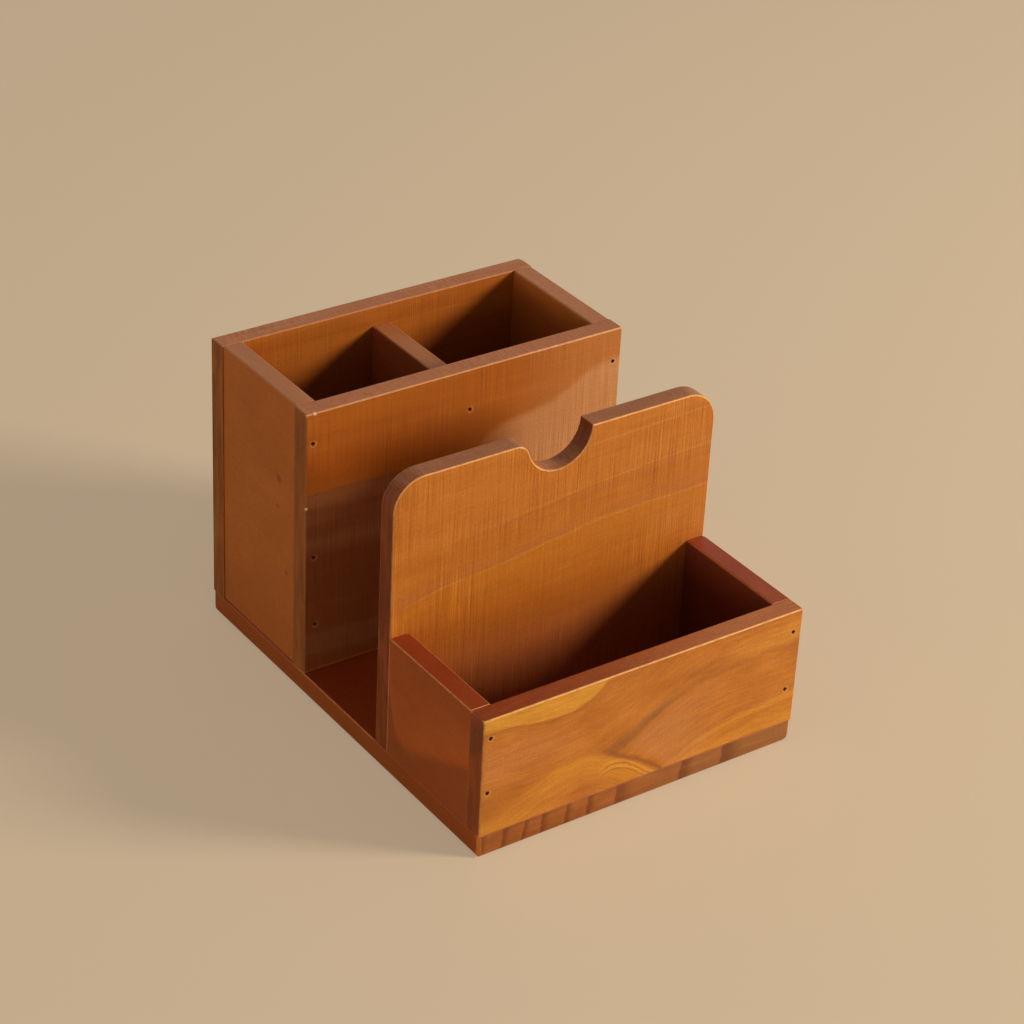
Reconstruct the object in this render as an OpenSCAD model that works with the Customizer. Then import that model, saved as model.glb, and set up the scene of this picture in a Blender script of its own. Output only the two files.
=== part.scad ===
// Nailed wooden desk organiser: an open tray in front, an upright notched panel,
// a slot for papers and a two-compartment pen box at the back, all on one base board.
// The front looks along -Y, the left end is at -X, and the base stands on z = 0.

/* [Overall] */
// Width of the base and of the panels that run across it
body_w = 120; // [90:1:180]
// Depth of the base from front to back
body_d = 160; // [146:1:220]

/* [Base board] */
// Thickness of the base board
base_t = 8; // [6:0.5:12]
// Round-over along the right and rear bottom edges of the base
base_round_r = 5; // [1:0.5:5]
// Worn radius of the base's upright corners and of its front and left bottom edges
base_corner_r = 1.8; // [0.5:0.1:3]

/* [Tray] */
// Depth of the tray, from the face of its front board to the face of the upright
tray_d = 51; // [42:1:64]
// Height of the tray's walls above the base
tray_wall_h = 42; // [34:1:70]
// Thickness of the tray's front board
tray_front_t = 7; // [5:0.5:10]
// Thickness of the tray's side boards
tray_side_t = 7; // [5:0.5:10]
// Worn radius at the rear end of each tray side, on its right-hand arris
tray_end_r = 2.5; // [0.5:0.1:4]

/* [Upright panel] */
// Height of the upright panel above the base
upright_h = 96; // [76:1:140]
// Thickness of the upright panel
upright_t = 7; // [5:0.5:10]
// Radius of the upright panel's top corners
upright_corner_r = 11; // [3:0.5:20]
// Radius of the finger notch in the top edge
notch_r = 12; // [8:0.5:18]
// Radius of the sanded shoulder on the notch's left side
notch_shoulder_r = 5; // [2:0.5:8]

/* [Pen box] */
// Clear slot between the upright panel and the pen box
slot_w = 43; // [20:1:56]
// Height of the pen box above the base
box_h = 95; // [76:1:140]
// Thickness of the pen box's front board
box_front_t = 7; // [5:0.5:9]
// Thickness of the pen box's back board
box_back_t = 7; // [5:0.5:9]
// Thickness of the pen box's side boards
box_side_t = 7; // [5:0.5:10]
// How far the pen box's sides are set in from the ends of its front and back
box_side_setback = 0.5; // [0:0.1:2]
// Worn radius of the back board's outer upright corner on the right
box_back_corner_r = 3; // [0.5:0.1:4]
// Thickness of the divider between the two compartments
divider_t = 7; // [5:0.5:10]
// How far the divider stops below the rim of the pen box
divider_drop = 7; // [2:0.5:30]

/* [Edges] */
// Radius of the eased edges that stay open to the hand
ease_r = 0.6; // [0.4:0.1:1.5]
// Radius of the eased edges along the glued joints
joint_ease_r = 0.3; // [0.1:0.05:0.5]

/* [Nails] */
// Length of each brad nail
nail_len = 20; // [16:0.5:21]
// Diameter of a nail's shank
nail_d = 1; // [0.7:0.1:1.4]
// Diameter of a nail's head
nail_head_d = 1.3; // [1.1:0.1:2]
// Thickness of a nail's head
nail_head_t = 0.6; // [0.4:0.1:1.2]
// Length of a nail's point
nail_point_len = 1.8; // [1:0.1:3]
// How deep a nail's head is punched below the surface
nail_sink = 1.1; // [0.4:0.1:1.8]
// Clear gap round a nail in its hole
nail_gap = 0.02; // [0.01:0.01:0.04]
// Depth of the tray's upper front nails below the rim
tray_nail_top = 7.2; // [5:0.1:12]
// Height of the tray's lower front nails above the base
tray_nail_low = 14.4; // [13.5:0.1:18]
// Depth of the pen box's upper nails below the rim
box_nail_top = 11; // [9:0.1:20]
// Height of the pen box's lower nails above the base
box_nail_low = 18; // [15:0.1:24]
// Height of the pen box's middle nails above the base
box_nail_mid = 45.5; // [35:0.1:55]
// Depth of the divider's upper nails below the top of the divider
divider_nail_top = 7.4; // [5:0.1:20]
// Distance of the base's nails from the middle of each cross panel
base_nail_pitch = 38; // [15:1:40]

/* [Hidden] */

// Planes across the depth, from front to back
front_y = -body_d / 2;
tray_inner_y = front_y + tray_front_t;
upright_y = front_y + tray_d;
upright_back_y = upright_y + upright_t;
box_y = upright_back_y + slot_w;
box_inner_y = box_y + box_front_t;
box_inner_back_y = body_d / 2 - box_back_t;

// Planes across the width
left_x = -body_w / 2;
right_x = body_w / 2;
box_side_x = right_x - box_side_setback;

// Lengths that the joints leave
tray_side_len = upright_y - tray_inner_y;
box_side_len = box_inner_back_y - box_inner_y;
divider_h = box_h - divider_drop;

// Levels
tray_top_z = base_t + tray_wall_h;
box_top_z = base_t + box_h;
divider_top_z = base_t + divider_h;

// Centre planes of the boards that are nailed on end
tray_side_mid_x = right_x - tray_side_t / 2;
box_side_mid_x = box_side_x - box_side_t / 2;
tray_front_mid_y = front_y + tray_front_t / 2;
upright_mid_y = upright_y + upright_t / 2;
box_front_mid_y = box_y + box_front_t / 2;
box_back_mid_y = body_d / 2 - box_back_t / 2;
tray_side_mid_y = tray_inner_y + tray_side_len / 2;
box_mid_y = box_inner_y + box_side_len / 2;

// Heights of the nails
tray_nail_z = [base_t + tray_nail_low, tray_top_z - tray_nail_top];
box_nail_z = [base_t + box_nail_low, base_t + box_nail_mid, box_top_z - box_nail_top];
divider_nail_z = [box_nail_z[0], box_nail_z[1], divider_top_z - divider_nail_top];

// Centre of the notch's left shoulder, which touches the top edge and just crosses the notch,
// and the angle at which the line between the two centres climbs
shoulder_lap = 0.01;
shoulder_reach = notch_r + notch_shoulder_r - shoulder_lap;
shoulder_x = -sqrt(shoulder_reach * shoulder_reach - notch_shoulder_r * notch_shoulder_r);
shoulder_angle = atan2(notch_shoulder_r, -shoulder_x);
// Degrees by which the easing of the notch runs on at both ends, and where it starts
notch_overrun = 8;
notch_start = 180 + shoulder_angle - notch_overrun;

// Small hand-made errors of the nails' places, across and up, from the bottom nail to the top one
tray_left_wander = [[-1.2, 1.3], [-0.9, 0.5]];
tray_right_wander = [[-0.7, -1.3], [0.2, -0.4]];
box_left_wander = [[-0.1, -0.1], [-0.8, -2.3], [-1.5, 0.4]];
box_right_wander = [[0.3, 0.4], [-0.4, -1.4], [0.9, -0.8]];
divider_wander = [[0.4, 0.3], [-0.5, -1.6], [0.7, 0]];

// Steps of a round outline and of a nail
round_fn = 64;
nail_fn = 24;
// How far a cutter reaches past a face
slack = 1;
// Width of a nail's blunt tip
nail_tip_d = 0.25;

front_wood = "#c8842f";
upright_wood = "#b8742a";
side_wood = "#94552b";
base_wood = "#8a4a26";
nail_steel = "#5a5048";

// What easing takes off a square corner at the origin whose wood lies towards +X and +Y
module corner_waste(r) {
    difference() {
        translate([-slack, -slack])
            square(r + slack);
        translate([r, r])
            circle(r, $fn = round_fn);
    }
}

// A rectangle from the origin, its corner radii listed anticlockwise from the origin
module eased_rect(w, h, r) {
    difference() {
        square([w, h]);
        corner_waste(r[0]);
        translate([w, 0])
            rotate(90)
                corner_waste(r[1]);
        translate([w, h])
            rotate(180)
                corner_waste(r[2]);
        translate([0, h])
            rotate(270)
                corner_waste(r[3]);
    }
}

// A board from the origin. along_x, along_y and along_z hold the radii of the four
// arrises along that axis, each seen as an eased_rect in Y-Z, X-Z and X-Y
module eased_board(size, along_x, along_y, along_z) {
    intersection() {
        rotate([90, 0, 90])
            linear_extrude(size[0])
                eased_rect(size[1], size[2], along_x);
        translate([0, size[1], 0])
            rotate([90, 0, 0])
                linear_extrude(size[1])
                    eased_rect(size[0], size[2], along_y);
        linear_extrude(size[2])
            eased_rect(size[0], size[1], along_z);
    }
}

// A brad nail that runs towards +Y, with the surface it was driven into at y = 0
module nail() {
    shank_len = nail_len - nail_head_t - nail_point_len;
    translate([0, nail_sink, 0])
        rotate([-90, 0, 0]) {
            cylinder(h = nail_head_t, d = nail_head_d, $fn = nail_fn);
            translate([0, 0, nail_head_t])
                cylinder(h = shank_len, d = nail_d, $fn = nail_fn);
            translate([0, 0, nail_head_t + shank_len])
                cylinder(h = nail_point_len, d1 = nail_d, d2 = nail_tip_d, $fn = nail_fn);
        }
}

// The hole that a nail and its punch leave, a little wider than the nail
module nail_hole() {
    rotate([-90, 0, 0]) {
        translate([0, 0, -slack])
            cylinder(h = slack + nail_sink + nail_head_t, d = nail_head_d + 2 * nail_gap, $fn = nail_fn);
        cylinder(h = nail_sink + nail_len + nail_gap, d = nail_d + 2 * nail_gap, $fn = nail_fn);
    }
}

// Turns a nail that runs towards +Y into one that runs up from the base's underside
module upwards() {
    rotate([90, 0, 0])
        children();
}

// Turns a nail that runs towards +Y into one that runs towards -Y
module forwards() {
    rotate([0, 0, 180])
        children();
}

module place_in_row(x, y, heights, wander) {
    for (i = [0 : len(heights) - 1])
        translate([x + wander[i][0], y, heights[i] + wander[i][1]])
            children();
}

// Places of the nails, used for the nails and for their holes alike
module tray_front_nail_places() {
    place_in_row(-tray_side_mid_x, front_y, tray_nail_z, tray_left_wander)
        children();
    place_in_row(tray_side_mid_x, front_y, tray_nail_z, tray_right_wander)
        children();
}

module upright_nail_places() {
    for (side = [-1, 1], z = tray_nail_z)
        translate([side * tray_side_mid_x, upright_back_y, z])
            forwards()
                children();
}

module box_front_nail_places() {
    place_in_row(-box_side_mid_x, box_y, box_nail_z, box_left_wander)
        children();
    place_in_row(box_side_mid_x, box_y, box_nail_z, box_right_wander)
        children();
}

module box_back_nail_places() {
    for (side = [-1, 1], z = box_nail_z)
        translate([side * box_side_mid_x, body_d / 2, z])
            forwards()
                children();
}

module divider_front_nail_places() {
    place_in_row(0, box_y, divider_nail_z, divider_wander)
        children();
}

module divider_back_nail_places() {
    for (z = divider_nail_z)
        translate([0, body_d / 2, z])
            forwards()
                children();
}

module base_tray_nail_places() {
    for (side = [-1, 1]) {
        translate([side * base_nail_pitch, tray_front_mid_y, 0])
            upwards()
                children();
        translate([side * tray_side_mid_x, tray_side_mid_y, 0])
            upwards()
                children();
    }
}

module base_upright_nail_places() {
    for (x = [-base_nail_pitch, 0, base_nail_pitch])
        translate([x, upright_mid_y, 0])
            upwards()
                children();
}

module base_box_nail_places() {
    for (side = [-1, 1]) {
        for (y = [box_front_mid_y, box_back_mid_y])
            translate([side * base_nail_pitch, y, 0])
                upwards()
                    children();
        translate([side * box_side_mid_x, box_mid_y, 0])
            upwards()
                children();
    }
    translate([0, box_mid_y, 0])
        upwards()
            children();
}

// The base board, square and crisp at the front left and rounded over at the right and rear
module base_board() {
    color(base_wood)
        difference() {
            translate([left_x, front_y, 0])
                eased_board(
                    [body_w, body_d, base_t],
                    [base_corner_r, base_round_r, ease_r, joint_ease_r],
                    [base_corner_r, base_round_r, ease_r, ease_r],
                    [base_corner_r, base_corner_r, base_corner_r, base_corner_r]
                );
            base_tray_nail_places()
                nail_hole();
            base_upright_nail_places()
                nail_hole();
            base_box_nail_places()
                nail_hole();
        }
}

// The tray's front board covers the ends of both tray sides
module tray_front() {
    color(front_wood)
        difference() {
            translate([left_x, front_y, base_t])
                eased_board(
                    [body_w, tray_front_t, tray_wall_h],
                    [joint_ease_r, joint_ease_r, ease_r, ease_r],
                    [joint_ease_r, joint_ease_r, ease_r, ease_r],
                    [ease_r, ease_r, joint_ease_r, joint_ease_r]
                );
            tray_front_nail_places()
                nail_hole();
            base_tray_nail_places()
                nail_hole();
        }
}

// A tray side with its right-hand rear arris worn round. low_x is its left face
module tray_side(low_x) {
    color(side_wood)
        difference() {
            translate([low_x, tray_inner_y, base_t])
                eased_board(
                    [tray_side_t, tray_side_len, tray_wall_h],
                    [joint_ease_r, joint_ease_r, joint_ease_r, joint_ease_r],
                    [joint_ease_r, joint_ease_r, ease_r, ease_r],
                    [joint_ease_r, joint_ease_r, tray_end_r, joint_ease_r]
                );
            tray_front_nail_places()
                nail_hole();
            upright_nail_places()
                nail_hole();
            base_tray_nail_places()
                nail_hole();
        }
}

module tray_side_left() {
    tray_side(left_x);
}

module tray_side_right() {
    tray_side(right_x - tray_side_t);
}

// The wood below the line from the shoulder's centre to the notch's centre
module shoulder_keep() {
    polygon([
        [shoulder_x, upright_h - notch_shoulder_r],
        [0, upright_h],
        [0, upright_h - notch_r - slack],
        [shoulder_x, upright_h - notch_r - slack]
    ]);
}

// The upright's outline in X and Z, from its foot at z = 0 to its top
module upright_outline() {
    difference() {
        translate([left_x, 0])
            eased_rect(body_w, upright_h, [joint_ease_r, joint_ease_r, upright_corner_r, upright_corner_r]);
        translate([0, upright_h])
            circle(notch_r, $fn = round_fn);
        difference() {
            translate([shoulder_x, upright_h - notch_shoulder_r])
                square([-shoulder_x, notch_shoulder_r + slack]);
            translate([shoulder_x, upright_h - notch_shoulder_r])
                circle(notch_shoulder_r, $fn = round_fn);
            shoulder_keep();
        }
    }
}

// The panel with its straight edges eased, its front face on y = 0 and its foot at z = 0
module upright_block() {
    intersection() {
        translate([0, upright_t, 0])
            rotate([90, 0, 0])
                linear_extrude(upright_t)
                    upright_outline();
        translate([left_x, 0, 0])
            rotate([90, 0, 90])
                linear_extrude(body_w)
                    eased_rect(upright_t, upright_h, [joint_ease_r, joint_ease_r, ease_r, ease_r]);
        translate([left_x, 0, 0])
            linear_extrude(upright_h)
                eased_rect(body_w, upright_t, [ease_r, ease_r, ease_r, ease_r]);
    }
}

// What easing takes off a round arris of the face at y = 0. The wood of a corner lies
// inside the radius, and that of a hollow outside it
module arc_waste(radius, start, sweep, hollow) {
    rotate([90, 0, 0])
        mirror([0, 0, 1])
            rotate([0, 0, start])
                rotate_extrude(angle = sweep, $fn = round_fn)
                    translate([radius, 0])
                        rotate(hollow ? 0 : 90)
                            corner_waste(ease_r);
}

// What easing takes off the round corners, the shoulder and the notch of one face
module round_edge_waste() {
    for (turn = [0, 1])
        mirror([turn, 0, 0])
            translate([right_x - upright_corner_r, 0, upright_h - upright_corner_r])
                arc_waste(upright_corner_r, 0, 90, false);
    translate([shoulder_x, 0, upright_h - notch_shoulder_r])
        arc_waste(notch_shoulder_r, shoulder_angle, 90 - shoulder_angle, false);
    translate([0, 0, upright_h])
        arc_waste(notch_r, notch_start, 360 + notch_overrun - notch_start, true);
}

module upright_panel() {
    color(upright_wood)
        difference() {
            translate([0, upright_y, base_t])
                difference() {
                    upright_block();
                    round_edge_waste();
                    translate([0, upright_t, 0])
                        mirror([0, 1, 0])
                            round_edge_waste();
                }
            upright_nail_places()
                nail_hole();
            base_upright_nail_places()
                nail_hole();
        }
}

// The pen box's front board covers the front ends of its sides and of the divider
module box_front() {
    color(upright_wood)
        difference() {
            translate([left_x, box_y, base_t])
                eased_board(
                    [body_w, box_front_t, box_h],
                    [joint_ease_r, joint_ease_r, ease_r, ease_r],
                    [joint_ease_r, joint_ease_r, ease_r, ease_r],
                    [ease_r, ease_r, joint_ease_r, joint_ease_r]
                );
            box_front_nail_places()
                nail_hole();
            divider_front_nail_places()
                nail_hole();
            base_box_nail_places()
                nail_hole();
        }
}

module box_back() {
    color(upright_wood)
        difference() {
            translate([left_x, box_inner_back_y, base_t])
                eased_board(
                    [body_w, box_back_t, box_h],
                    [joint_ease_r, joint_ease_r, ease_r, ease_r],
                    [joint_ease_r, joint_ease_r, ease_r, ease_r],
                    [joint_ease_r, joint_ease_r, box_back_corner_r, ease_r]
                );
            box_back_nail_places()
                nail_hole();
            divider_back_nail_places()
                nail_hole();
            base_box_nail_places()
                nail_hole();
        }
}

module box_side(low_x) {
    color(side_wood)
        difference() {
            translate([low_x, box_inner_y, base_t])
                eased_board(
                    [box_side_t, box_side_len, box_h],
                    [joint_ease_r, joint_ease_r, joint_ease_r, joint_ease_r],
                    [joint_ease_r, joint_ease_r, ease_r, ease_r],
                    [joint_ease_r, joint_ease_r, joint_ease_r, joint_ease_r]
                );
            box_front_nail_places()
                nail_hole();
            box_back_nail_places()
                nail_hole();
            base_box_nail_places()
                nail_hole();
        }
}

module box_side_left() {
    box_side(-box_side_x);
}

module box_side_right() {
    box_side(box_side_x - box_side_t);
}

// The divider stops short of the rim and stands on the base
module box_divider() {
    color(upright_wood)
        difference() {
            translate([-divider_t / 2, box_inner_y, base_t])
                eased_board(
                    [divider_t, box_side_len, divider_h],
                    [joint_ease_r, joint_ease_r, joint_ease_r, joint_ease_r],
                    [joint_ease_r, joint_ease_r, ease_r, ease_r],
                    [joint_ease_r, joint_ease_r, joint_ease_r, joint_ease_r]
                );
            divider_front_nail_places()
                nail_hole();
            divider_back_nail_places()
                nail_hole();
            base_box_nail_places()
                nail_hole();
        }
}

module tray_front_nails() {
    color(nail_steel)
        tray_front_nail_places()
            nail();
}

module upright_nails() {
    color(nail_steel)
        upright_nail_places()
            nail();
}

module box_front_nails() {
    color(nail_steel)
        box_front_nail_places()
            nail();
}

module box_back_nails() {
    color(nail_steel)
        box_back_nail_places()
            nail();
}

module divider_front_nails() {
    color(nail_steel)
        divider_front_nail_places()
            nail();
}

module divider_back_nails() {
    color(nail_steel)
        divider_back_nail_places()
            nail();
}

module base_tray_nails() {
    color(nail_steel)
        base_tray_nail_places()
            nail();
}

module base_upright_nails() {
    color(nail_steel)
        base_upright_nail_places()
            nail();
}

module base_box_nails() {
    color(nail_steel)
        base_box_nail_places()
            nail();
}

base_board();
tray_front();
tray_side_left();
tray_side_right();
upright_panel();
box_front();
box_back();
box_side_left();
box_side_right();
box_divider();
tray_front_nails();
upright_nails();
box_front_nails();
box_back_nails();
divider_front_nails();
divider_back_nails();
base_tray_nails();
base_upright_nails();
base_box_nails();
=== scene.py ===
import math

import bpy
from mathutils import Matrix, Vector


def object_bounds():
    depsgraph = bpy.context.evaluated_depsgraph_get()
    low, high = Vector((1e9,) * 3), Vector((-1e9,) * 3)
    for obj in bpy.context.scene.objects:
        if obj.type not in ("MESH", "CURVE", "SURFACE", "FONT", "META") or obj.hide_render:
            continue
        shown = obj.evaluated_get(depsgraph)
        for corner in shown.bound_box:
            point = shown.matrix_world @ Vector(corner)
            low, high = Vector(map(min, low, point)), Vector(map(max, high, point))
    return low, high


# Looks of the nailed wooden desk organiser. Places on the boards are written in
# millimetres of the row frame: X to the right, Y to the rear, Z up.
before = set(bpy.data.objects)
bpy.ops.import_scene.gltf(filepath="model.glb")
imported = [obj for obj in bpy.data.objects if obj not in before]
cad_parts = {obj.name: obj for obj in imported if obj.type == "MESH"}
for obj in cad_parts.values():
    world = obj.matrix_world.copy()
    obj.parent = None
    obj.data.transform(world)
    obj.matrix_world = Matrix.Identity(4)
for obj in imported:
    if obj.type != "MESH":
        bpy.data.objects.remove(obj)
cad_low, cad_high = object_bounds()

MM = 0.001

# View
CAMERA_AZIMUTH = -36.0252
CAMERA_ELEVATION = 30.8125
CAMERA_ROLL = 3.0095
CAMERA_PLACE = (-0.45661, -0.63355, 0.52754)
CAMERA_LENS = 100.6
CAMERA_SENSOR = 36.0
CAMERA_NEAR = 0.05
CAMERA_FAR = 50.0

# Stage and light
FLOOR_SIZE = 24.0
FLOOR_COLOUR = "#e4ccab"
FLOOR_GLOW = 0.40
BACKDROP_COLOUR = "#ddd3c4"
SKY_COLOUR = "#fff8f0"
HORIZON_LEVEL = 0.80
OVERHEAD_LEVEL = 0.16
SKY_DIMS_FROM = 0.06
SKY_DIMS_TO = 0.42
# Each lamp: where it hangs as seen from the part, its distance, its width and height, its level and
# its colour. At level 1, a white surface that faces the lamp is lit up to white
KEY_LAMP = ((0.70, -0.62, 0.34), 1.7, (0.46, 0.46), 1.0, "#fff2e2")
LEFT_LAMP = ((-0.985, -0.16, 0.06), 1.7, (1.2, 0.2), 0.20, "#ffeedd")

# Wood in general. A reach is how far a layer moves the tone, which runs from -0.5 to 0.5
END_FROM = 0.5
END_FULL = 0.8
BAND_REACH = 0.32
CLOUD_REACH = 0.40
FIBRE_REACH = 0.36
TICK_REACH = 0.54
LINE_REACH = 0.20
SPECKLE_REACH = 0.44
DASH_REACH = 0.34
LINE_WANDER = 1.2
LINE_RAGGED = 0.9
EDGE_FROM = 0.985
EDGE_FULL = 0.90
# The least share of the pale edge colour, which is partly wear and partly a painted highlight.
WEAR_AND_HIGHLIGHT_LEAST = 0.55
CHIP_COLOUR = "#e8c49a"
ROUGH_BASE = 0.40
ROUGH_SPREAD = -0.20
ROUGH_END = 0.12
BUMP_DEPTH = 0.05
SHINE = 0.3
# How strongly the fine layers act on red, green and blue: dark grain is redder than light grain
FINE_TINT = (0.55, 0.75, 1.0)

# Nail holes
NAIL_SPREAD = 4.0
HOLE_RADIUS = 0.62
HOLE_FADE = 0.12
# The holes' dark colour is painted shade.
HOLE_COLOUR = "#2e150a"
HALO_SHIFT = (0.30, -0.28)
HALO_RADIUS = 0.95
HALO_WIDTH = 0.42
HALO_COLOUR = "#cf9c66"
HALO_SHARE = 0.40

# Lines of the figure on the tray's front, in X and Z: the top of the knot's arch, the thin arcs in it, the
# dark streak that rises from it to the right, the foot of the pale lens at the upper left and the top of
# the pale field at the lower right
TRAY_ARCH = [(-60, 14), (-50, 17.5), (-40, 21), (-30, 24), (-22, 25), (-17, 23.6), (-7.2, 17.9)]
TRAY_ARCH += [(-1, 14.4), (6.7, 8.7), (14, 1), (60, -19)]
TRAY_ARCS = [(-60, 8), (-16, 14.0), (-12, 15.4), (-8, 14.8), (-4, 12.4), (0.5, 8.8), (60, -40)]
TRAY_STREAK = [(-60, 19), (-20, 20), (-13, 21.5), (-8.7, 22.8), (-4, 25), (0.5, 27.6), (5.2, 30.3)]
TRAY_STREAK += [(10.5, 32.4), (22, 36.2), (30, 37.4), (60, 38.4)]
TRAY_LENS = [(-60, 45.6), (-50, 44.6), (-42, 43.3), (-36, 42.3), (-30, 42), (-25, 42.8), (-20, 45)]
TRAY_LENS += [(-12, 50), (60, 59)]
TRAY_FIELD = [(-60, -19), (0, 3), (8.2, 9.5), (14.4, 11.8), (20.5, 14.5), (26.7, 16.4), (35, 18)]
TRAY_FIELD += [(60, 20.5)]
# Lines of the figure on the upright panel: a lower one and an upper one
UPRIGHT_LOW = [(-60, 57.5), (-51, 59.8), (-38.7, 62.2), (-18, 64.4), (-7.2, 66), (4.4, 67.4)]
UPRIGHT_LOW += [(15.9, 68.7), (60, 70)]
UPRIGHT_HIGH = [(-60, 75), (-28.7, 77.9), (-7.2, 80.2), (12, 82.1), (31, 83.5), (60, 84.6)]
# Top of the painted sheen, a pale reflection painted on the pen box's front
SHEEN_TOP = [(-60, 60), (0, 71), (8.2, 76.5), (15.9, 79.2), (26, 80.8), (35.2, 83.1), (42.8, 86.9)]
SHEEN_TOP += [(50.5, 90.4), (60, 92)]
# Foot of the lighter wood on the tray's left side, in Y and Z
SIDE_SMILE = [(-80, 31), (-72.4, 28), (-59.6, 22.6), (-46.7, 17.6), (-39.6, 15.4), (-34, 17)]
SIDE_SMILE += [(-31, 24), (-29, 32)]
# Growth rings on the base's front: where each one starts, from left to right
BASE_RINGS = [(-66, 0), (-60, 1), (-52.2, 2), (-44.4, 3), (-37.8, 4), (-28.7, 5), (-20.7, 6)]
BASE_RINGS += [(-9.9, 7), (14.7, 8), (31, 9), (66, 10)]
RING_LEAN = -0.12
# Small knots on the pen box's left side, in Y and Z, with their radii
SIDE_KNOTS = [(38.0, 72.1, 1.3), (38.5, 61.8, 0.8), (33.1, 39.6, 1.0)]
# Chips in the varnish at the pen box's front left corner
BOX_CHIPS = [(-56.8, 21.4, 102.6, 0.55), (-59.6, 21.2, 69.6, 0.5)]


def linear(code):
    """A colour written as #rrggbb, as linear red, green, blue and alpha."""
    parts = [int(code[i : i + 2], 16) / 255 for i in (1, 3, 5)]
    return [c / 12.92 if c <= 0.04045 else ((c + 0.055) / 1.055) ** 2.4 for c in parts] + [1.0]


def make_camera():
    """The photograph's view, from the angles of the line of sight and the roll round it."""
    azimuth, elevation, roll = (math.radians(a) for a in (CAMERA_AZIMUTH, CAMERA_ELEVATION, CAMERA_ROLL))
    back = Vector(
        (
            math.sin(azimuth) * math.cos(elevation),
            -math.cos(azimuth) * math.cos(elevation),
            math.sin(elevation),
        )
    )
    right = Vector((0, 0, 1)).cross(back).normalized()
    up = back.cross(right)
    tilted_right = math.cos(roll) * right + math.sin(roll) * up
    tilted_up = math.cos(roll) * up - math.sin(roll) * right
    camera = bpy.data.objects.new("camera", bpy.data.cameras.new("camera"))
    camera.data.lens = CAMERA_LENS
    camera.data.sensor_width = CAMERA_SENSOR
    camera.data.clip_start = CAMERA_NEAR
    camera.data.clip_end = CAMERA_FAR
    turn = Matrix((tilted_right, tilted_up, back)).transposed()
    camera.matrix_world = Matrix.Translation(CAMERA_PLACE) @ turn.to_4x4()
    bpy.context.scene.collection.objects.link(camera)
    bpy.context.scene.camera = camera


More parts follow.
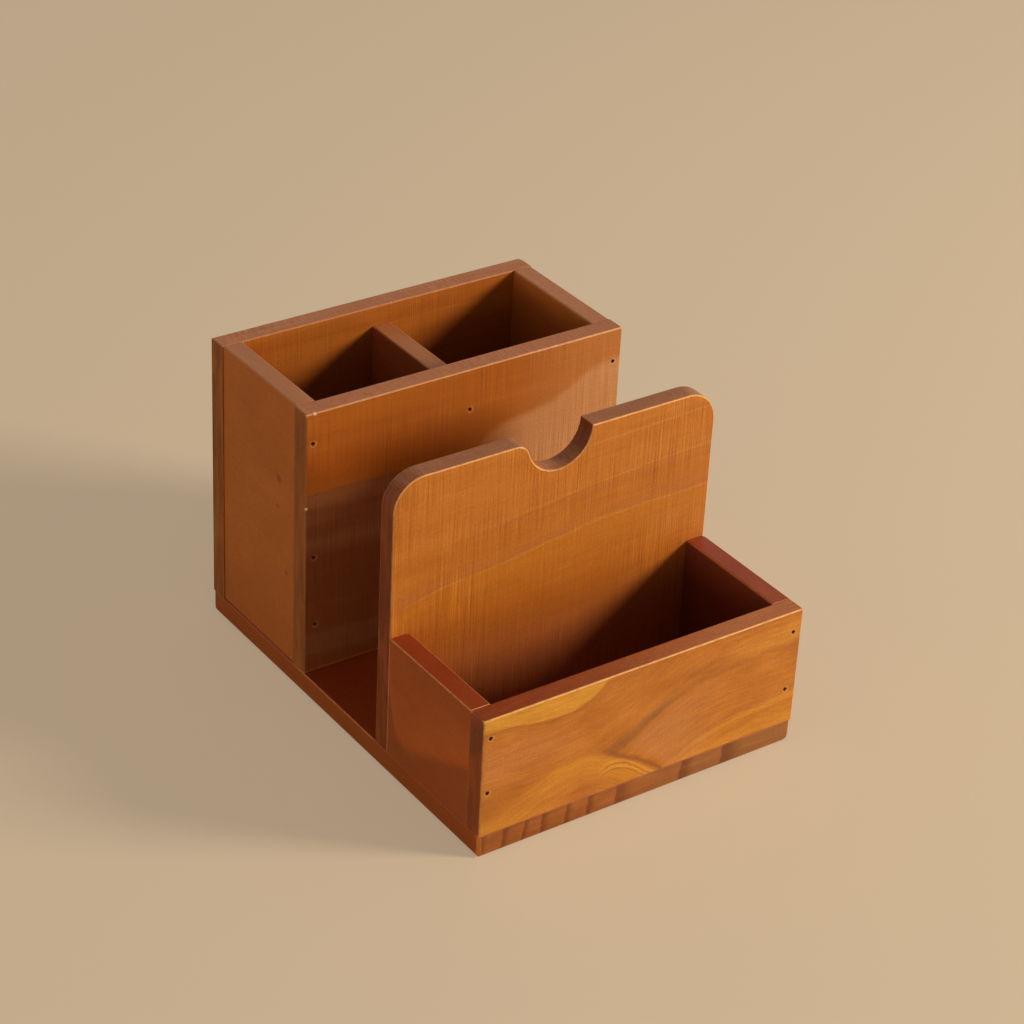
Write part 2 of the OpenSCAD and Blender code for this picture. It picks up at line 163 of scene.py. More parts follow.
class Net:
    """The nodes of one material or world. A value is a socket, a number or a list of numbers."""

    def __init__(self, owner):
        owner.use_nodes = True
        self.owner = owner
        self.tree = owner.node_tree
        self.tree.nodes.clear()

    def node(self, kind, **settings):
        made = self.tree.nodes.new(kind)
        for name, value in settings.items():
            setattr(made, name, value)
        return made

    def feed(self, socket, value):
        if isinstance(value, bpy.types.NodeSocket):
            self.tree.links.new(value, socket)
        else:
            socket.default_value = value

    def math(self, operation, *values, clamp=False):
        made = self.node("ShaderNodeMath", operation=operation, use_clamp=clamp)
        for socket, value in zip(made.inputs, values):
            self.feed(socket, value)
        return made.outputs[0]

    def add(self, *values):
        total = values[0]
        for value in values[1:]:
            total = self.math("ADD", total, value)
        return total

    def less(self, first, second):
        return self.math("SUBTRACT", first, second)

    def times(self, *values):
        product = values[0]
        for value in values[1:]:
            product = self.math("MULTIPLY", product, value)
        return product

    def most(self, *values):
        top = values[0]
        for value in values[1:]:
            top = self.math("MAXIMUM", top, value)
        return top

    def vector(self, operation, *values):
        made = self.node("ShaderNodeVectorMath", operation=operation)
        for socket, value in zip(made.inputs, values):
            self.feed(socket, value)
        return made.outputs["Value"] if operation in ("DISTANCE", "LENGTH") else made.outputs[0]

    def joined(self, x, y, z):
        made = self.node("ShaderNodeCombineXYZ")
        for socket, value in zip(made.inputs, (x, y, z)):
            self.feed(socket, value)
        return made.outputs[0]

    def split(self, vector):
        made = self.node("ShaderNodeSeparateXYZ")
        self.feed(made.inputs[0], vector)
        return made.outputs[0], made.outputs[1], made.outputs[2]

    def step(self, value, start, end):
        """0 before start, 1 past end, and smooth between them. Start may be the higher one."""
        made = self.node("ShaderNodeMapRange", interpolation_type="SMOOTHSTEP")
        for socket, given in zip(made.inputs, (value, start, end)):
            self.feed(socket, given)
        return made.outputs[0]

    def hill(self, value, start, top, end):
        """0 at start, 1 at top and 0 again at end. Start may be the highest one."""
        return self.times(self.step(value, start, top), self.step(value, end, top))

    def stripe(self, value, middle, width):
        """1 where the value is at the middle, falling to 0 at a distance of width."""
        return self.step(self.math("ABSOLUTE", self.less(value, middle)), width, 0.0)

    def noise(self, place, steps, seed, detail=2.0, rough=0.5, twist=0.0):
        """Noise from 0 to 1. Steps holds its cycles per millimetre along the three parts of place."""
        made = self.node("ShaderNodeTexNoise")
        scaled = self.vector("MULTIPLY_ADD", place, steps, [seed * 7.31, seed * 3.77, seed * 5.13])
        self.feed(made.inputs["Vector"], scaled)
        made.inputs["Scale"].default_value = 1.0
        made.inputs["Detail"].default_value = detail
        made.inputs["Roughness"].default_value = rough
        made.inputs["Distortion"].default_value = twist
        return made.outputs[0]

    def signed(self, noise, reach):
        """Noise moved to lie about 0, and scaled."""
        return self.math("MULTIPLY_ADD", noise, 2 * reach, -reach)

    def mix(self, share, first, second, blend="MIX"):
        made = self.node("ShaderNodeMix", data_type="RGBA", blend_type=blend)
        self.feed(made.inputs[0], share)
        self.feed(made.inputs[6], first)
        self.feed(made.inputs[7], second)
        return made.outputs[2]

    def layers(self, colour, marks):
        """Lays each mark, a share and a colour code, over the colour in turn."""
        for share, code in marks:
            colour = self.mix(share, colour, linear(code))
        return colour

    def ramp(self, value, stops):
        """A colour from a list of (place, colour code)."""
        made = self.node("ShaderNodeValToRGB")
        self.feed(made.inputs[0], value)
        elements = made.color_ramp.elements
        while len(elements) < len(stops):
            elements.new(1.0)
        for element, (place, code) in zip(elements, stops):
            element.position = place
            element.color = linear(code)
        return made.outputs[0]

    def curve(self, value, points, low, high):
        """A smooth line through points, which lie in the range between the corners low and high."""
        made = self.node("ShaderNodeFloatCurve")
        share = self.math("DIVIDE", self.less(value, low[0]), high[0] - low[0], clamp=True)
        self.feed(made.inputs["Value"], share)
        line = made.mapping.curves[0]
        scaled = [((x - low[0]) / (high[0] - low[0]), (y - low[1]) / (high[1] - low[1])) for x, y in points]
        while len(line.points) < len(scaled):
            line.points.new(0.5, 0.5)
        for point, place in zip(line.points, scaled):
            point.location = place
        made.mapping.update()
        return self.math("MULTIPLY_ADD", made.outputs[0], high[1] - low[1], low[1])

    def finish(self, colour, rough, height=None, depth=0.0, **constants):
        """Ends the material in one shader, with fine relief where a height is given."""
        shader = self.node("ShaderNodeBsdfPrincipled")
        self.feed(shader.inputs["Base Color"], colour)
        self.feed(shader.inputs["Roughness"], rough)
        for name, value in constants.items():
            shader.inputs[name.replace("_", " ")].default_value = value
        if height is not None:
            bump = self.node("ShaderNodeBump")
            bump.inputs["Strength"].default_value = 1.0
            bump.inputs["Distance"].default_value = depth * MM
            self.feed(bump.inputs["Height"], height)
            self.feed(shader.inputs["Normal"], bump.outputs[0])
        output = self.node("ShaderNodeOutputMaterial")
        self.tree.links.new(shader.outputs[0], output.inputs["Surface"])
        return self.owner


def make_floor():
    """A plain pale floor. Part of its colour shows by itself to the camera, which keeps the shadow soft."""
    bpy.ops.mesh.primitive_plane_add(size=FLOOR_SIZE)
    floor = bpy.context.object
    floor.name = "floor"
    net = Net(bpy.data.materials.new("floor_paint"))
    plain = net.node("ShaderNodeBsdfDiffuse")
    plain.inputs["Color"].default_value = linear(FLOOR_COLOUR)
    glow = net.node("ShaderNodeEmission")
    glow.inputs["Color"].default_value = linear(FLOOR_COLOUR)
    seen = net.node("ShaderNodeLightPath").outputs["Is Camera Ray"]
    blend = net.node("ShaderNodeMixShader")
    net.feed(blend.inputs[0], net.times(seen, FLOOR_GLOW))
    net.feed(blend.inputs[1], plain.outputs[0])
    net.feed(blend.inputs[2], glow.outputs[0])
    net.feed(net.node("ShaderNodeOutputMaterial").inputs["Surface"], blend.outputs[0])
    floor.data.materials.append(net.owner)


def make_room():
    """A pale room, bright round the horizon and dim overhead. The camera sees a plain backdrop."""
    net = Net(bpy.data.worlds.new("room"))
    height = net.split(net.node("ShaderNodeTexCoord").outputs["Generated"])[2]
    low_share = net.step(height, SKY_DIMS_TO, SKY_DIMS_FROM)
    path = net.node("ShaderNodeLightPath").outputs
    seen = net.most(path["Is Camera Ray"], path["Is Glossy Ray"], path["Is Transmission Ray"])
    light = net.node("ShaderNodeBackground")
    light.inputs["Color"].default_value = linear(SKY_COLOUR)
    extra = net.times(low_share, HORIZON_LEVEL - OVERHEAD_LEVEL)
    net.feed(light.inputs["Strength"], net.add(extra, OVERHEAD_LEVEL))
    backdrop = net.node("ShaderNodeBackground")
    backdrop.inputs["Color"].default_value = linear(BACKDROP_COLOUR)
    blend = net.node("ShaderNodeMixShader")
    net.feed(blend.inputs[0], seen)
    net.feed(blend.inputs[1], light.outputs[0])
    net.feed(blend.inputs[2], backdrop.outputs[0])
    net.feed(net.node("ShaderNodeOutputWorld").inputs["Surface"], blend.outputs[0])
    bpy.context.scene.world = net.owner


def make_lamp(name, direction, distance, size, level, colour):
    """A soft lamp that shines on the middle of the part."""
    light = bpy.data.lights.new(name, "AREA")
    light.shape = "ELLIPSE"
    light.size, light.size_y = size
    light.color = linear(colour)[:3]
    light.energy = level * math.pi**2 * distance**2
    lamp = bpy.data.objects.new(name, light)
    toward = Vector(direction).normalized()
    lamp.location = (cad_low + cad_high) / 2 + toward * distance
    lamp.rotation_mode = "QUATERNION"
    lamp.rotation_quaternion = toward.to_track_quat("Z", "Y")
    bpy.context.scene.collection.objects.link(lamp)


class Board(Net):
    """The wood of one board. Grain is the axis along its fibres, and up the one across them."""

    def __init__(self, node, grain, up, seed):
        super().__init__(bpy.data.materials.new(node + "_wood"))
        self.name = node
        self.seed = seed
        place = self.vector("MULTIPLY", self.node("ShaderNodeTexCoord").outputs["Object"], [1 / MM] * 3)
        self.place = dict(zip("xyz", self.split(place)))
        self.spot = self.joined(*self.place.values())
        normal = self.split(self.node("ShaderNodeNewGeometry").outputs["Normal"])
        self.normal = dict(zip("xyz", normal))
        self.facing = {axis: self.math("ABSOLUTE", part) for axis, part in self.normal.items()}
        self.along = self.place[grain]
        self.across = self.place[up]
        self.through = self.place[({"x", "y", "z"} - {grain, up}).pop()]
        self.grained = self.joined(self.along, self.across, self.through)
        self.end = self.step(self.facing[grain], END_FROM, END_FULL)
        self.top = self.step(self.normal["z"], END_FROM, END_FULL)
        wander = self.layer([0.03, 0.06, 0.06], 9, LINE_WANDER)
        self.ragged = self.add(wander, self.layer([0.12, 0.8, 0.8], 10, LINE_RAGGED, detail=3.0, rough=0.6))

    def layer(self, steps, seed, reach, place=None, **noise):
        """One layer of tone about 0, from noise along, across and through the grain."""
        return self.signed(self.noise(place or self.grained, steps, self.seed + seed, **noise), reach)

    def line(self, points, along="x", up="z"):
        """How far a place lies above a line of the figure, whose course is slightly ragged."""
        heights = [height for _, height in points]
        low = (points[0][0], min(heights))
        high = (points[-1][0], max(heights))
        course = self.curve(self.place[along], points, low, high)
        return self.add(self.less(self.place[up], course), self.ragged)

    def bands(self, reach=1.0):
        """Broad bands along the grain and clouds."""
        band = self.layer([0.008, 0.16, 0.16], 1, BAND_REACH * reach, twist=0.4)
        return self.add(band, self.clouds(reach))

    def clouds(self, reach=1.0):
        """Broad soft clouds, a little longer along the grain."""
        return self.layer([0.018, 0.036, 0.036], 2, CLOUD_REACH * reach)

    def mottle(self, reach):
        """Small soft patches."""
        return self.layer([0.07, 0.13, 0.13], 11, reach, detail=3.0, rough=0.6)

    def fibres(self, across=None, reach=1.0):
        """Fine fibres along the grain and a speckle over them. Across may be bent by a figure."""
        place = self.joined(self.along, self.across if across is None else across, self.through)
        fibre = self.layer([0.05, 1.3, 1.3], 0, FIBRE_REACH * reach, place, detail=3.0, rough=0.7)
        speckle = self.layer([1.3, 2.6, 2.6], 5, SPECKLE_REACH, rough=0.7)
        return self.add(fibre, speckle)

    def ticks(self, strength=1.0):
        """Fine marks across the grain, in patches, which the light brings out in the stained wood."""
        marks = self.layer([2.3, 0.045, 0.3], 3, TICK_REACH * strength, detail=1.0, rough=0.6)
        lines = self.noise(self.grained, [1.9, 0.03, 0.2], self.seed + 8, 0.0)
        dark = self.times(self.step(lines, 0.36, 0.28), -LINE_REACH * strength)
        light = self.times(self.step(lines, 0.64, 0.72), LINE_REACH * strength)
        patches = self.step(self.noise(self.grained, [0.03, 0.04, 0.04], self.seed + 4, 1.0), 0.35, 0.65)
        return self.times(self.add(marks, dark, light), self.add(0.35, self.times(patches, 0.75)))

    def edge(self, round_rim=False):
        """1 on the eased edges. Where a board's rim turns, they lie between the rim and the face."""
        if round_rim:
            sideways = self.times(self.normal["x"], self.normal["x"])
            upward = self.times(self.normal["z"], self.normal["z"])
            flat = self.most(self.facing["y"], self.math("SQRT", self.add(sideways, upward)))
        else:
            flat = self.most(self.facing["x"], self.facing["y"], self.facing["z"])
        return self.step(flat, EDGE_FROM, EDGE_FULL)

    def nail_distance(self, nails, axes, shift=(0.0, 0.0)):
        """Distance in millimetres to the axis of the nearest nail."""
        here = self.joined(self.place[axes[0]], self.place[axes[1]], 0.0)
        aways = [self.vector("DISTANCE", here, [u + shift[0], v + shift[1], 0.0]) for u, v in nails]
        nearest = aways[0]
        for away in aways[1:]:
            nearest = self.math("MINIMUM", nearest, away)
        return nearest

    def specks(self, places, soft):
        """1 in small round spots, each a place and a radius. Soft is the width of their rims."""
        shares = []
        for x, y, z, radius in places:
            away = self.vector("DISTANCE", self.spot, [x, y, z])
            shares.append(self.step(away, radius + soft, radius - soft))
        return self.most(*shares)

    def dress(
        self,
        broad,
        fine,
        palette,
        marks=(),
        top_marks=(),
        end_marks=(),
        last_marks=(),
        worn=0.2,
        round_rim=False,
        nails=(),
        nail_axes="xz",
    ):
        """Puts together face, rim, end grain, figure, fine grain, edges that are partly worn and partly
        painted highlights, and nail holes darkened inside with painted shade.
        """
        place = self.add(broad, 0.5)
        colour = self.layers(self.ramp(place, palette["face"]), marks)
        top = self.layers(self.ramp(place, palette["rim"]), top_marks)
        end_tone = self.noise(self.grained, [0.1, 0.05, 0.32], self.seed + 6, 2.0, 0.5, 0.8)
        end = self.layers(self.ramp(end_tone, palette["end"]), end_marks)
        colour = self.mix(self.top, colour, top)
        colour = self.mix(self.end, colour, end)
        tint = self.joined(*[self.add(1.0, self.times(fine, share)) for share in FINE_TINT])
        colour = self.vector("MULTIPLY", colour, tint)
        # Eased edges: a pale colour, partly wear and partly a painted highlight, laid on in ragged patches.
        ragged = self.noise(self.spot, [0.35, 0.35, 0.35], self.seed + 7, 3.0, 0.6)
        patchy = self.add(WEAR_AND_HIGHLIGHT_LEAST, self.times(self.step(ragged, 0.3, 0.6), 1.0 - WEAR_AND_HIGHLIGHT_LEAST))
        edge = self.times(self.edge(round_rim), patchy)
        colour = self.mix(self.times(edge, worn), colour, linear(palette["worn"]))
        if nails:
            glint = self.stripe(self.nail_distance(nails, nail_axes, HALO_SHIFT), HALO_RADIUS, HALO_WIDTH)
            colour = self.mix(self.times(glint, HALO_SHARE), colour, linear(HALO_COLOUR))
            # Painted shade: the nail holes are coloured dark inside.
            away = self.nail_distance(nails, nail_axes)
            hole_shade = self.step(away, HOLE_RADIUS + HOLE_FADE, HOLE_RADIUS - HOLE_FADE / 3)
            colour = self.mix(hole_shade, colour, linear(HOLE_COLOUR))
        colour = self.layers(colour, last_marks)
        rough = self.add(ROUGH_BASE, self.times(fine, ROUGH_SPREAD), self.times(self.end, ROUGH_END))
        return self.finish(colour, rough, fine, BUMP_DEPTH, Specular_IOR_Level=SHINE)


def nail_middles(node, axes):
    """The middle of each nail of a node in the two axes across it, in millimetres."""
    first, second = ("xyz".index(axis) for axis in axes)
    groups = []
    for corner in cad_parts[node].data.vertices:
        spot = Vector((corner.co[first], corner.co[second])) / MM
        for group in groups:
            if (group[0] - spot).length < NAIL_SPREAD:
                group.append(spot)
                break
        else:
            groups.append([spot])
    return [[(min(s[i] for s in g) + max(s[i] for s in g)) / 2 for i in (0, 1)] for g in groups]


def paint(node, material):
    """Gives a node's own slots the material."""
    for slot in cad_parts[node].material_slots:
        slot.material = material


def tray_front_wood():
    """A knot at the foot of the board, a dark streak that rises from it, and pale fields round them."""
    board = Board("tray_front", "x", "z", 11)
    x, y, z = board.place.values()
    arch = board.line(TRAY_ARCH)
    streak = board.line(TRAY_STREAK)
    lens = board.line(TRAY_LENS)
    field = board.line(TRAY_FIELD)
    inside = board.step(arch, 1.5, -1.5)
    bent = board.add(board.times(arch, inside), board.times(streak, board.less(1.0, inside)))
    dashes = board.layer([0.17, 1.7, 1.7], 16, DASH_REACH, board.joined(x, bent, y), rough=0.6)
    fine = board.add(board.fibres(bent), dashes, board.ticks(0.15))

    in_lens = board.step(lens, -0.4, 0.8)
    lens_lines = board.noise(board.joined(x, lens, 0.0), [0.03, 1.7, 1.0], 12, 3.0)
    lens_share = board.add(0.5, board.times(board.step(lens_lines, 0.3, 0.6), 0.22))
    under_lens = board.times(board.stripe(lens, -0.7, 1.2), board.step(x, -14.0, -30.0))
    field_lines = board.step(board.noise(board.joined(x, field, 0.0), [0.03, 0.5, 1.0], 13, 3.0), 0.2, 0.6)
    in_field = board.times(board.step(field, 0.7, -1.0), board.step(x, 4.0, 12.0))
    over_field = board.times(board.stripe(field, 0.9, 1.4), board.step(x, 6.0, 16.0))
    band = board.times(board.hill(arch, -13.0, -3.0, 1.2), board.step(x, -66.0, -20.0))
    low_left = board.times(board.hill(z, 6.0, 10.0, 15.0), board.step(x, -26.0, -42.0))
    dark_left = board.times(board.stripe(x, -23.0, 9.0), board.stripe(z, 9.0, 6.0))
    shown = board.times(board.step(x, -17.0, -12.0), board.step(x, 9.0, 3.0))
    arc = board.line(TRAY_ARCS)
    arcs = board.times(board.most(board.stripe(arc, 0.0, 0.55), board.stripe(arc, 1.8, 0.5)), shown)
    shine = board.times(board.most(board.stripe(arc, 0.9, 0.7), board.stripe(arc, 2.8, 0.8)), shown)
    hood = board.times(board.stripe(arch, 0.6, 1.9), board.step(x, -20.0, -10.0))
    dark_start = board.times(board.step(x, -18.0, -8.0), board.step(x, 16.0, 4.0))
    dark_streak = board.times(board.hill(streak, -2.6, 0.4, 5.0), dark_start)
    thin_shown = board.times(board.step(x, -2.0, 8.0), board.step(x, 42.0, 22.0))
    thin_streak = board.times(board.stripe(streak, 0.6, 2.4), thin_shown)
    far_streak = board.times(board.stripe(streak, -0.6, 0.9), board.step(x, 24.0, 34.0))
    echo = board.times(board.stripe(streak, 4.0, 1.6), board.step(x, 2.0, 12.0), board.step(x, 34.0, 20.0))
    between = board.times(board.step(streak, -0.6, -5.0), board.step(arch, 1.8, 6.0))
    pale = board.times(between, board.step(x, 34.0, 10.0))
    gold_right = board.times(board.hill(streak, -0.6, 2.4, 11.0), board.step(x, 24.0, 46.0))
    pink = board.times(board.hill(z, 22.0, 33.0, 44.0), board.step(x, -22.0, -36.0))
    dull_top = board.times(board.step(z, 34.0, 46.0), board.hill(x, -26.0, 5.0, 44.0))

    marks = [
        (board.times(pink, 0.5), "#b9753f"),
        (board.times(dull_top, 0.35), "#a8621f"),
        (board.times(low_left, 0.5), "#cf8b30"),
        (board.times(band, 0.68), "#cf8c2c"),
        (board.times(dark_left, 0.5), "#a05a26"),
        (board.times(under_lens, 0.35), "#8f5522"),
        (board.times(in_lens, lens_share), "#d69a34"),
        (board.times(gold_right, 0.5), "#cf8d38"),
        (board.times(in_field, field_lines, 0.62), "#cd882c"),
        (board.times(over_field, 0.25), "#96561f"),
        (board.times(pale, 0.4), "#c28450"),
        (board.times(echo, 0.25), "#8c5a34"),
        (board.times(far_streak, 0.25), "#8c5a34"),
        (board.times(thin_streak, 0.36), "#86552f"),
        (board.times(dark_streak, 0.52), "#7c4e32"),
        (board.times(shine, 0.45), "#dea244"),
        (board.times(arcs, 0.55), "#97591d"),
        (board.times(hood, 0.65), "#834a28"),
    ]
    palette = {
        "face": [(0.0, "#9c5a1e"), (0.5, "#b66f28"), (1.0, "#cc863a")],
        "rim": [(0.0, "#7a3410"), (0.5, "#983f14"), (1.0, "#ae5420")],
        "end": [(0.3, "#7c3c14"), (0.5, "#8c4212"), (0.7, "#984a16")],
        "worn": "#e8ac62",
    }
    top_marks = [(board.times(board.step(x, -50.0, 40.0), 0.85), "#c2743c")]
    slant = board.add(z, board.times(board.less(y, -80.0), 0.9), board.ragged)
    dark_up = board.times(board.step(slant, 37.0, 42.0), board.step(z, 49.5, 45.0))
    dark_low = board.hill(z, 8.0, 15.0, 24.0)
    end_marks = [(board.times(dark_up, 0.5), "#5a2e14"), (board.times(dark_low, 0.15), "#5c2a10")]
    front = board.step(y, -78.4, -79.3)
    # Painted highlights: light lines along the top front edge and at the left joint.
    top_front = board.times(front, board.step(z, 48.6, 49.3))
    left_joint = board.times(board.step(x, -51.0, -53.5), board.step(y, -74.2, -73.4))
    highlight_edges = board.most(board.times(top_front, 0.85), board.times(left_joint, 0.55))
    worn = board.most(board.times(front, 0.45), highlight_edges, 0.08)
    nails = nail_middles("tray_front_nails", "xz")
    broad = board.add(board.bands(0.8), board.mottle(0.42))
    return board.dress(broad, fine, palette, marks, top_marks, end_marks, worn=worn, nails=nails)


def upright_wood():
    """Two rising lines of the figure, fine marks across the grain, and painted shade, redder and darker,
    low in the tray.
    """
    board = Board("upright_panel", "x", "z", 23)
    x, y, z = board.place.values()
    low = board.line(UPRIGHT_LOW)
    high = board.line(UPRIGHT_HIGH)
    fine = board.add(board.fibres(low, 0.6), board.ticks())
    low_shown = board.step(x, -60.0, -44.0)
    high_shown = board.step(x, -44.0, -12.0)
    top_line = board.less(z, board.add(96.6, board.times(x, 0.032)))
    broken = board.add(0.4, board.times(board.noise(board.grained, [0.12, 0.1, 0.1], 14, 2.0), 1.2))
    marks = [
        # Painted shade: this mark makes the panel redder below the tray's rim.
        (board.times(board.step(z, 64.0, 44.0), 0.6), "#aa580c"),
        (board.times(board.hill(low, -10.0, -2.0, 0.2), 0.45), "#bf721c"),
        (board.times(board.hill(low, -0.2, 1.0, 8.0), 0.4), "#ae6834"),
        (board.times(board.stripe(low, -0.1, 0.8), low_shown, broken, 0.22), "#d8964c"),
        (board.times(board.hill(high, 0.3, -1.2, -7.0), high_shown, 0.2), "#b26c38"),
        (board.times(board.hill(high, -0.2, 1.0, 10.0), 0.25), "#c67e36"),
        (board.times(board.stripe(high, 0.0, 0.7), high_shown, broken, 0.22), "#dc9c52"),
        (board.times(board.stripe(top_line, 0.0, 0.7), board.step(x, 6.0, 18.0), broken, 0.2), "#dc9c52"),
        # Painted shade: this mark makes the panel darker and redder low in the tray.
        (board.times(board.step(z, 54.0, 24.0), 0.7), "#8e4a2c"),
    ]
    palette = {
        "face": [(0.0, "#a05a1a"), (0.5, "#b66c24"), (1.0, "#c88036")],
        # The rim colours are pinker and paler than the face: partly the wood's own colour and partly a
        # painted sheen on the top.
        "rim": [(0.0, "#8a4e26"), (0.5, "#a86234"), (1.0, "#bc7848")],
        "end": [(0.3, "#682f10"), (0.5, "#7a370f"), (0.7, "#8a4418")],
        "worn": "#e8ac62",
    }
    # Painted highlights: light lines along the upper front edge and the left rear edge.
    front = board.step(y, -27.6, -28.4)
    upper = board.step(z, 90.0, 95.0)
    left_rear = board.times(board.step(x, -58.4, -59.2), board.step(y, -23.4, -22.6))
    highlight_edges = board.most(board.times(front, upper, 0.8), board.times(left_rear, 0.8))
    worn = board.most(board.times(front, 0.35), highlight_edges, 0.08)
    nails = nail_middles("upright_nails", "xz")
    broad = board.add(board.bands(0.6), board.mottle(0.25))
    return board.dress(broad, fine, palette, marks, worn=worn, round_rim=True, nails=nails)


def box_panel_palette():
    """The colours that the pen box's front and back share. The rim colours, paler and pinker than the face,
    are partly the wood's own and partly a painted sheen on the tops.
    """
    return {
        "face": [(0.0, "#8e480e"), (0.5, "#a65a18"), (1.0, "#bd7228")],
        "rim": [(0.0, "#a86034"), (0.5, "#c07341"), (1.0, "#ce8654")],
        "end": [(0.3, "#80461a"), (0.5, "#8e501e"), (0.7, "#9a5a26")],
        "worn": "#e8b478",
    }


def box_front_wood():
    """Painted shade of the upright, partly figure, makes it darker and redder low at the left; a painted
    sheen and painted light make it paler at the right; a painted highlight runs along the foot.
    """
    board = Board("box_front", "x", "z", 37)
    x, y, z = board.place.values()
    ring = board.add(z, board.ragged, board.times(x, 0.035))
    sheen = board.line(SHEEN_TOP)
    low_bands = board.step(board.noise(board.joined(x, ring, 0.0), [0.006, 0.11, 1.0], 15, 2.0), 0.45, 0.62)
    fine = board.add(board.fibres(ring, 0.6), board.ticks(0.8))
    marks = [
        # Painted light: the front grows paler towards the right end, where light passes the upright.
        (board.times(board.step(x, 10.0, 50.0), 0.6), "#bd7a3c"),
        # Partly figure and partly painted shade of the upright: the first mark darkens the left between z
        # 71 and 96. The second is painted shade of the upright below a line near z 73.
        (board.times(board.hill(ring, 96.0, 78.0, 71.0), board.step(x, 24.0, -20.0), 0.55), "#8c400c"),
        (board.times(board.step(ring, 73.4, 72.2), board.step(x, 10.0, -20.0), 0.75), "#84492a"),
        (board.times(board.step(ring, 73.4, 70.0), low_bands, 0.35), "#a86e4a"),
        (board.times(board.hill(ring, 50.0, 54.0, 60.0), 0.2), "#b87a44"),
        # Painted sheen: a pale reflection below SHEEN_TOP at the right.
        (board.times(board.step(sheen, 2.5, -1.5), board.step(x, -4.0, 22.0), 0.5), "#cb9768"),
    ]
    front = board.times(board.step(y, 22.6, 21.7), board.step(z, 101.4, 102.2))
    worn = board.most(board.times(front, 0.4), board.times(front, board.step(x, -50.0, 40.0), 0.6), 0.05)
    # Painted highlight: a light line along the foot of the front. The chips in the varnish are real wear.
    foot = board.times(board.step(z, 9.0, 8.2), board.step(y, 22.6, 21.7))
    highlight_and_chips = [(board.times(foot, 0.6), "#c8803c"), (board.specks(BOX_CHIPS, 0.25), CHIP_COLOUR)]
    nails = nail_middles("box_front_nails", "xz") + nail_middles("divider_front_nails", "xz")
    broad = board.bands(0.7)
    return board.dress(broad, fine, box_panel_palette(), marks, last_marks=highlight_and_chips, worn=worn, nails=nails)


def box_back_wood():
    """Plain wood, with painted shade that makes it redder low in the compartments."""
    board = Board("box_back", "x", "z", 51)
    fine = board.add(board.fibres(), board.ticks(0.8))
    nails = nail_middles("box_back_nails", "xz") + nail_middles("divider_back_nails", "xz")
    # Painted shade: redder and darker low in the compartments.
    deep = [(board.times(board.step(board.place["z"], 96.0, 78.0), 0.35), "#8a4424")]
    return board.dress(board.bands(), fine, box_panel_palette(), deep, worn=0.1, nails=nails)


def divider_wood():
    """Plain wood with a lighter top, partly its own colour and partly a painted sheen."""
    board = Board("box_divider", "y", "z", 71)
    palette = {
        "face": [(0.0, "#8a4824"), (0.5, "#a05830"), (1.0, "#b46c3c")],
        "rim": [(0.0, "#a86230"), (0.5, "#bd7340"), (1.0, "#cc8650")],
        "end": [(0.3, "#67300f"), (0.5, "#924a18"), (0.7, "#a55c28")],
        "worn": "#d89a5e",
    }
    return board.dress(board.bands(), board.fibres(), palette, worn=0.15)


def tray_side_wood(node, seed, outer):
    """Outer is -1 for the left side, whose outer face shows, and 1 for the right one."""
    board = Board(node, "y", "z", seed)
    z = board.place["z"]
    palette = {
        "face": [(0.0, "#8a3e16"), (0.5, "#9e4a18"), (1.0, "#ae581e")],
        "rim": [(0.0, "#782c0a"), (0.5, "#983a10"), (1.0, "#aa4e1e")],
        "end": [(0.3, "#67300f"), (0.5, "#924a18"), (0.7, "#a55c28")],
        "worn": "#e08f4a",
    }
    smile = board.line(SIDE_SMILE, "y")
    rise = board.times(board.hill(smile, 0.0, 3.0, 20.0), 0.3)
    marks = [
        (rise, "#bc6420"),
        (board.times(board.step(z, 38.0, 46.0), 0.3), "#8c4a1c"),
        (board.times(board.step(smile, 1.2, -1.2), 0.55), "#80421a"),
        (board.times(board.step(smile, -4.0, -12.0), 0.35), "#94481a"),
    ]
    # Painted shade: the right side's inner face, which faces into the tray, is darkened.
    if outer > 0:
        marks.append((board.step(board.normal["x"], 0.0, -0.5), "#6a3018"))
    high = board.step(z, 48.6, 49.3)
    worn = board.most(board.times(high, 0.8 if outer < 0 else 0.4), 0.12)
    broad = board.add(board.clouds(0.8), board.mottle(0.3))
    return board.dress(broad, board.fibres(reach=0.5), palette, marks, worn=worn)


def box_side_wood(node, seed):
    """Soft clouds and small knots, with a darker foot."""
    board = Board(node, "y", "z", seed)
    z = board.place["z"]
    palette = {
        "face": [(0.0, "#9c521c"), (0.5, "#b06224"), (1.0, "#be7030")],
        # The rim colours are partly the wood's own and partly a painted sheen on the tops.
        "rim": [(0.0, "#a86238"), (0.5, "#be7646"), (1.0, "#cc8858")],
        "end": [(0.3, "#67300f"), (0.5, "#924a18"), (0.7, "#a55c28")],
        "worn": "#d89a5e",
    }
    knots = board.specks([(-59.5, y_knot, z_knot, radius) for y_knot, z_knot, radius in SIDE_KNOTS], 0.6)
    marks = [
        (board.times(board.step(z, 30.0, 8.0), 0.3), "#8c4214"),
        (board.times(knots, 0.5), "#4c3414"),
    ]
    broad = board.add(board.clouds(0.7), board.mottle(0.25))
    return board.dress(broad, board.fibres(reach=0.4), palette, marks, worn=0.05)


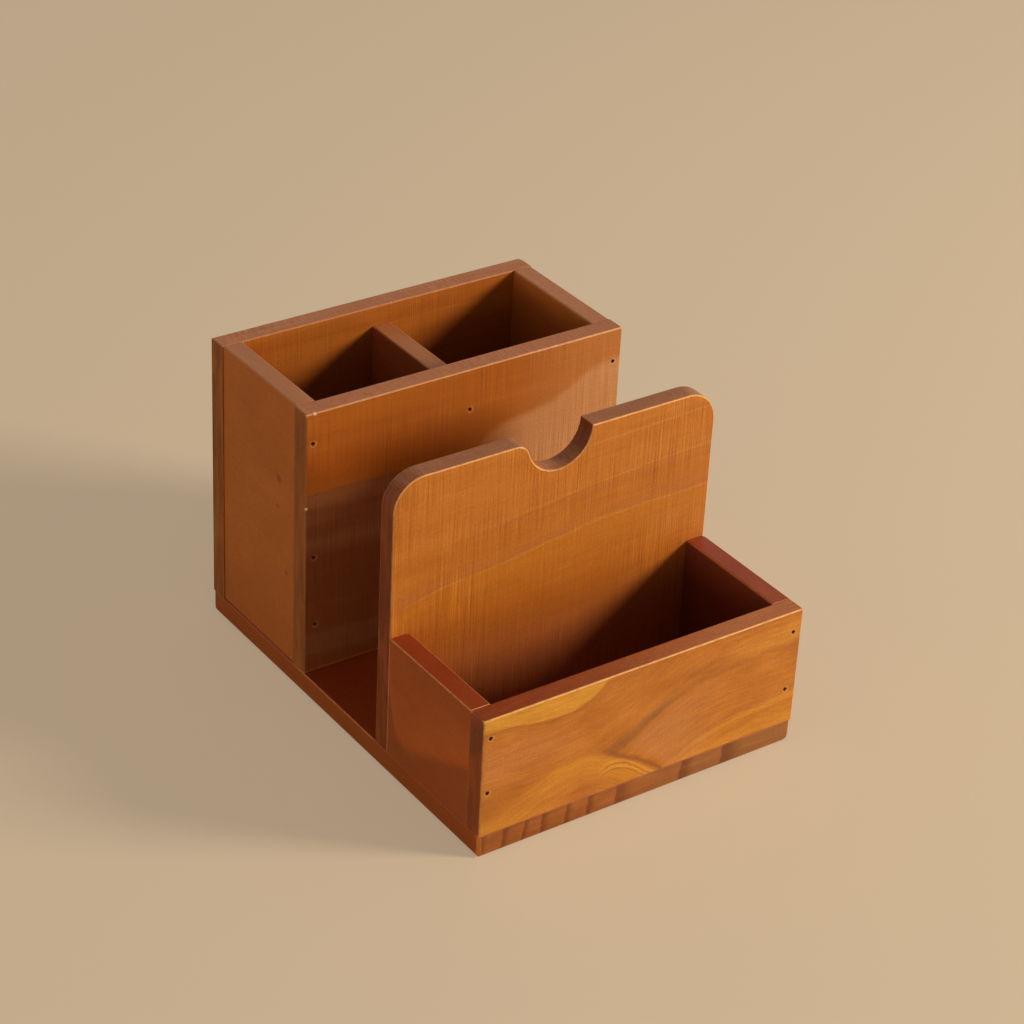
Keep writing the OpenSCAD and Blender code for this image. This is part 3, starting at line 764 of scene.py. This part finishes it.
def base_wood():
    """The base's grain runs from front to back, so its front shows end grain in upright growth rings."""
    board = Board("base_board", "y", "x", 91)
    x, y, z = board.place.values()
    leaning = board.add(x, board.times(z, RING_LEAN))
    wander = board.signed(board.noise(board.joined(x, y, z), [0.12, 0.01, 0.3], 9, 2.0), 1.0)
    count = board.curve(board.add(leaning, wander), BASE_RINGS, (-66, 0), (66, 10))
    phase = board.math("FRACT", count)
    late = board.times(board.step(phase, 0.0, 0.03), board.step(phase, 0.42, 0.08))
    early = board.step(phase, 0.7, 1.0)
    palette = {
        "face": [(0.0, "#843c0e"), (0.5, "#924712"), (1.0, "#a25420")],
        "rim": [(0.0, "#82310c"), (0.5, "#983c12"), (1.0, "#a84c1e")],
        "end": [(0.25, "#87481a"), (0.5, "#945420"), (0.75, "#a4642e")],
        "worn": "#e0863c",
    }
    end_marks = [
        (board.times(early, 0.3), "#a85a24"),
        (board.times(board.step(x, -20.0, 30.0), 0.4), "#946a42"),
        (board.times(late, 0.6), "#602c10"),
    ]
    # Painted highlights: light lines along the base's top edge by the slot and at the front left corner.
    slot_edge = board.times(board.step(z, 6.8, 7.4), board.step(y, 28.0, 24.0), board.step(y, -22.0, -20.0))
    slot_edge = board.times(slot_edge, board.step(x, -58.0, -59.0))
    corner = board.times(board.step(x, -57.5, -58.6), board.step(y, -77.5, -78.6))
    # Painted shade: the side faces darken towards their bottom edge.
    foot = [(board.times(board.step(z, 2.2, 0.2), board.step(board.facing["x"], 0.3, 0.6), 0.4), "#6a3410")]
    worn = board.most(board.times(slot_edge, 0.5), board.times(corner, 0.6), 0.06)
    broad = board.clouds(0.8)
    return board.dress(broad, board.fibres(reach=0.6), palette, foot, end_marks=end_marks, worn=worn)


def nail_metal():
    """Dull steel with a little rust, deep in the nail holes."""
    net = Net(bpy.data.materials.new("nail_steel"))
    place = net.vector("MULTIPLY", net.node("ShaderNodeTexCoord").outputs["Object"], [1 / MM] * 3)
    rust = net.noise(place, [1.5, 1.5, 1.5], 2, 3.0)
    colour = net.ramp(rust, [(0.35, "#4a443e"), (0.6, "#6b5648")])
    return net.finish(colour, 0.5, rust, 0.02, Metallic=0.8)


make_camera()
make_floor()
make_room()
make_lamp("key", *KEY_LAMP)
make_lamp("left", *LEFT_LAMP)

paint("tray_front", tray_front_wood())
paint("upright_panel", upright_wood())
paint("box_front", box_front_wood())
paint("box_back", box_back_wood())
paint("box_divider", divider_wood())
paint("tray_side_left", tray_side_wood("tray_side_left", 61, -1))
paint("tray_side_right", tray_side_wood("tray_side_right", 63, 1))
paint("box_side_left", box_side_wood("box_side_left", 81))
paint("box_side_right", box_side_wood("box_side_right", 83))
paint("base_board", base_wood())
steel = nail_metal()
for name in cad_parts:
    if name.endswith("_nails"):
        paint(name, steel)

bpy.context.scene.view_settings.view_transform = "Standard"
